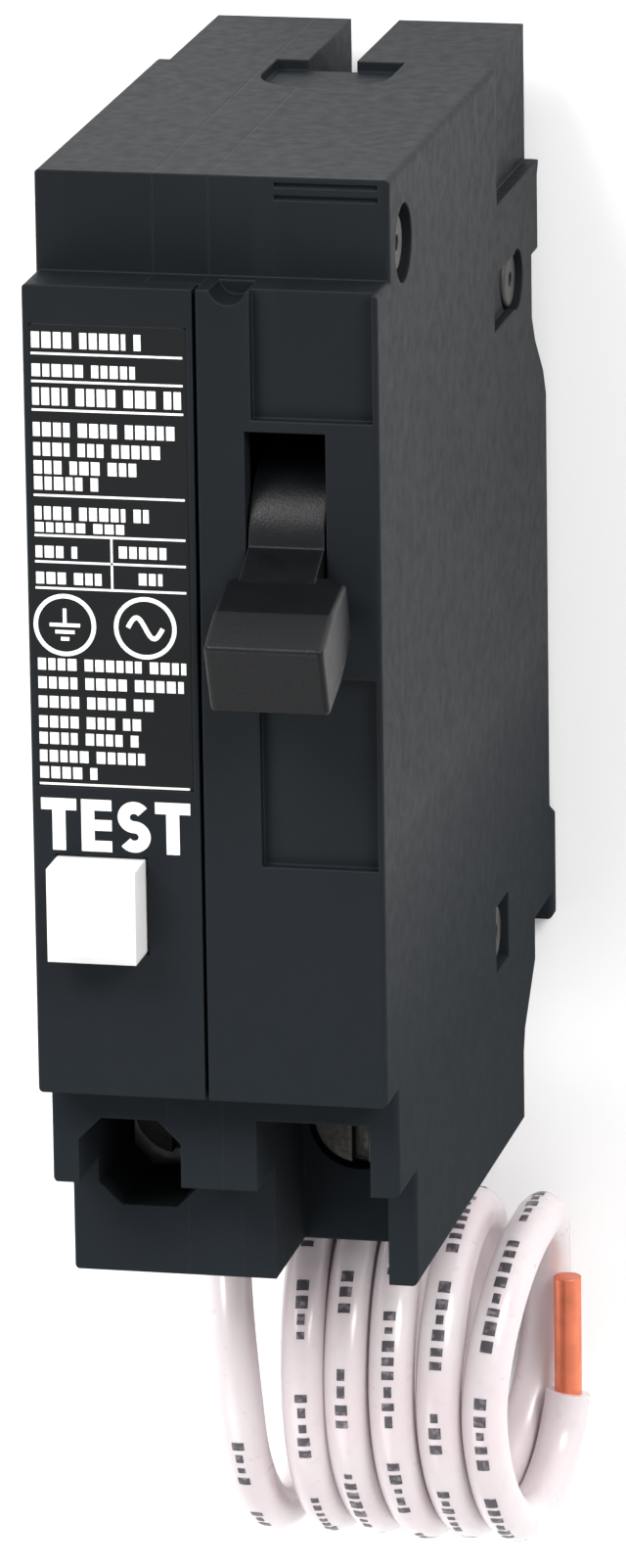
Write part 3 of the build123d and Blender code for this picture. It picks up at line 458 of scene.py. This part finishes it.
def make_print():
    draw = random.Random(11)
    b = bmesh.new()
    for y in RULES:
        low = y * MM - RULE_WIDTH / 2
        prism(b, rectangle(PRINT_LEFT, low, PRINT_RIGHT - PRINT_LEFT, RULE_WIDTH), *INK_Z)
    prism(b, rectangle(DIVIDER_X, 12.35 * MM, RULE_WIDTH, 3.6 * MM), *INK_Z)
    for row in ROWS:
        print_row(b, row, draw)
    print_symbols(b)
    print_word(b)
    ink = Graph("label_ink", (0.78, 0.78, 0.77), 0.5)
    patches = ink.span(ink.noise(2500, 3), 0, 0.5, 0.5, 0.75)
    material = ink.set(color=ink.mix(patches, (0.78, 0.78, 0.77), (0.45, 0.45, 0.46)))
    new_piece("label_print", b, material, "case")


make_print()


# ---------------------------------------------------------------- pigtail
WIRE_D = 3.5
FLOOR_Z = WIRE_D / 2 + 0.03
GLAND = (-9.2, -39.6, 17.2)
LOOP = (-60.75, 13.55)  # centre of the coil, y and z, MM
LOOP_R = 11.75
TURNS = 5.25
PER_TURN = 16
# x of each turn in MM where it passes over the top, the far side, the floor and the near side
QUARTERS = (
    (-7.0, -5.8, -4.3, -3.0),
    (-2.1, -1.3, 0.0, 0.6),
    (1.1, 2.3, 3.4, 4.1),
    (4.65, 5.8, 7.4, 8.5),
    (8.15, 9.3, 12.0, 13.6),
    (11.6, 12.8),
)
LEAD_IN = (
    GLAND,
    (-9.2, -46.0, 17.2),
    (-8.7, -50.6, 21.4),
    (-7.8, -55.0, 24.4),
)
LEAD_OUT = (
    (13.2, -72.2, 10.8),
    (13.7, -70.4, 7.9),
    (14.1, -67.8, 6.1),
    (14.4, -65.4, 5.7),
)


def turn_x(turn):
    """x of the wire after that many turns from the first top, eased between the quarters."""
    anchors = [x for quarters in QUARTERS for x in quarters]
    index = min(len(anchors) - 2, math.floor(4 * turn))
    share = 4 * turn - index
    share = (share + share**2 * (3 - 2 * share)) / 2
    return anchors[index] + share * (anchors[index + 1] - anchors[index])


def coil_points():
    """Control points of the turns, each a little larger or smaller than the one before."""
    swell = LOOP_R * 2 / (1 + math.cos(math.pi / PER_TURN))
    points = []
    for i in range(round(TURNS * PER_TURN) + 1):
        turn = i / PER_TURN
        angle = 2 * math.pi * turn
        radius = swell + 0.15 * math.sin(2.3 * turn + 0.6)
        y = LOOP[0] - radius * math.sin(angle)
        z = LOOP[1] + radius * math.cos(angle)
        points.append((turn_x(turn), y, max(z, FLOOR_Z)))
    return points


def nurbs(name, points, radius):
    """A round wire along a smooth spline through that control polygon."""
    data = bpy.data.curves.new(name, "CURVE")
    data.dimensions = "3D"
    data.bevel_depth = radius
    data.bevel_resolution = 6
    data.resolution_u = 6
    data.use_fill_caps = True
    spline = data.splines.new("NURBS")
    spline.points.add(len(points) - 1)
    for target, point in zip(spline.points, points):
        target.co = (*(value * MM for value in point), 1)
    spline.order_u = 3
    spline.use_endpoint_u = True
    curve = bpy.data.objects.new(name, data)
    bpy.context.scene.collection.objects.link(curve)
    return curve


def centre_line(curve):
    """Points down the middle of a curve."""
    bare = curve.data.copy()
    bare.bevel_depth = 0
    carrier = bpy.data.objects.new("bare", bare)
    mesh = bpy.data.meshes.new_from_object(carrier)
    line = [vertex.co.copy() for vertex in mesh.vertices]
    bpy.data.meshes.remove(mesh)
    bpy.data.curves.remove(bare)
    return line


def wire_print(line):
    """Short dark dashes in a row along the outside of the wire."""
    draw = random.Random(4)
    b = bmesh.new()
    radius = WIRE_D / 2 * MM + 0.012 * MM
    along = [0.0]
    for a, c in zip(line, line[1:]):
        along.append(along[-1] + (c - a).length)

    def surface_at(distance, twist):
        """The point that far along the wire, and the way out of it at that angle."""
        index = max(i for i, value in enumerate(along[:-1]) if value <= distance)
        share = (distance - along[index]) / (along[index + 1] - along[index])
        point = line[index].lerp(line[index + 1], share)
        run = (line[index + 1] - line[index]).normalized()
        out = point - Vector((point.x, LOOP[0] * MM, LOOP[1] * MM))
        out = (out - run * out.dot(run)).normalized()
        across = run.cross(out)
        return point, out * math.cos(twist) + across * math.sin(twist)

    def patch(start, length, centre, half):
        """A dash that follows the wire's surface."""
        grid = []
        for i in range(4):
            row = []
            for j in range(5):
                twist = centre + half * (j / 2 - 1)
                point, out = surface_at(start + length * i / 3, twist)
                row.append(b.verts.new(point + out * radius))
            grid.append(row)
        for i in range(3):
            for j in range(4):
                b.faces.new((grid[i][j], grid[i][j + 1], grid[i + 1][j + 1], grid[i + 1][j]))

    distance = 26 * MM
    while distance < along[-1] - 6 * MM:
        for _ in range(draw.randint(3, 8)):
            length = draw.uniform(0.45, 0.85) * MM
            drift = 0.10 * math.sin(distance * 40)
            if distance + length < along[-1] - 4 * MM:
                patch(distance, length, drift, draw.choice((0.17, 0.27, 0.27)))
            distance += length + 0.42 * MM
        distance += draw.uniform(1.6, 3.4) * MM
    ink = Graph("wire_ink", (0.05, 0.045, 0.055), 0.45)
    worn = ink.span(ink.noise(1800, 4), 0, 0.7, 0.5, 0.75)
    material = ink.set(color=ink.mix(worn, (0.05, 0.045, 0.055), (0.32, 0.28, 0.30)))
    return new_piece("pigtail_print", b, material, "case")


def make_pigtail():
    wire = nurbs("pigtail_wire", [*LEAD_IN, *coil_points(), *LEAD_OUT], WIRE_D / 2 * MM)
    wire.data.materials.append(white_insulation)
    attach(wire, "case")
    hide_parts("pigtail_tube", "pigtail_coil")
    line = centre_line(wire)
    length = sum((c - a).length for a, c in zip(line, line[1:]))
    dashes = wire_print(line)
    print("pigtail length", round(length, 4))


make_pigtail()


# ---------------------------------------------------------------- stage
FLOOR_HALF = 3.0
FLOOR_AT = -0.0002
SKY_LOW, SKY_HIGH = 1.1, 0.75  # brightness near the horizon and overhead


def make_stage():
    """A plain pale floor under the object."""
    b = bmesh.new()
    outline = rectangle(-FLOOR_HALF, -FLOOR_HALF, 2 * FLOOR_HALF, 2 * FLOOR_HALF)
    b.faces.new([b.verts.new((x, y, FLOOR_AT)) for x, y in outline])
    mesh = bpy.data.meshes.new("floor")
    b.to_mesh(mesh)
    b.free()
    floor = bpy.data.objects.new("floor", mesh)
    bpy.context.scene.collection.objects.link(floor)
    paper = Graph("floor_paper", (0.93, 0.93, 0.93), 0.9)
    mesh.materials.append(paper.material)


def area_light(name, place, aim, size, power, color=(1, 1, 1)):
    data = bpy.data.lights.new(name, "AREA")
    data.shape = "RECTANGLE"
    data.size, data.size_y = size
    data.energy = power
    data.color = color
    light = bpy.data.objects.new(name, data)
    light.location = place
    light.rotation_euler = (Vector(aim) - Vector(place)).to_track_quat("-Z", "Y").to_euler()
    bpy.context.scene.collection.objects.link(light)


def make_lights():
    world = bpy.data.worlds.new("world")
    bpy.context.scene.world = world
    world.use_nodes = True
    sky = world.node_tree
    background = sky.nodes["Background"]
    direction = sky.nodes.new("ShaderNodeTexCoord").outputs["Generated"]
    parts = sky.nodes.new("ShaderNodeSeparateXYZ")
    height = sky.nodes.new("ShaderNodeMapRange")
    set_range(height, 0.2, 0.9, SKY_LOW, SKY_HIGH)
    sky.links.new(direction, parts.inputs[0])
    sky.links.new(parts.outputs["Z"], height.inputs["Value"])
    sky.links.new(height.outputs["Result"], background.inputs["Strength"])
    background.inputs["Color"].default_value = (1, 1, 1, 1)
    middle = (0, -0.01, 0.03)
    area_light("key", (-0.45, 0.75, 0.75), middle, (0.5, 0.5), 10.0)
    area_light("side", (0.6, 0.6, 0.6), (0.01, 0.03, 0.03), (0.4, 0.4), 8.0)
    area_light("front", (-0.5, -0.6, 0.9), middle, (0.8, 0.8), 5.0)


make_stage()
make_lights()
bpy.context.scene.view_settings.view_transform = "Standard"
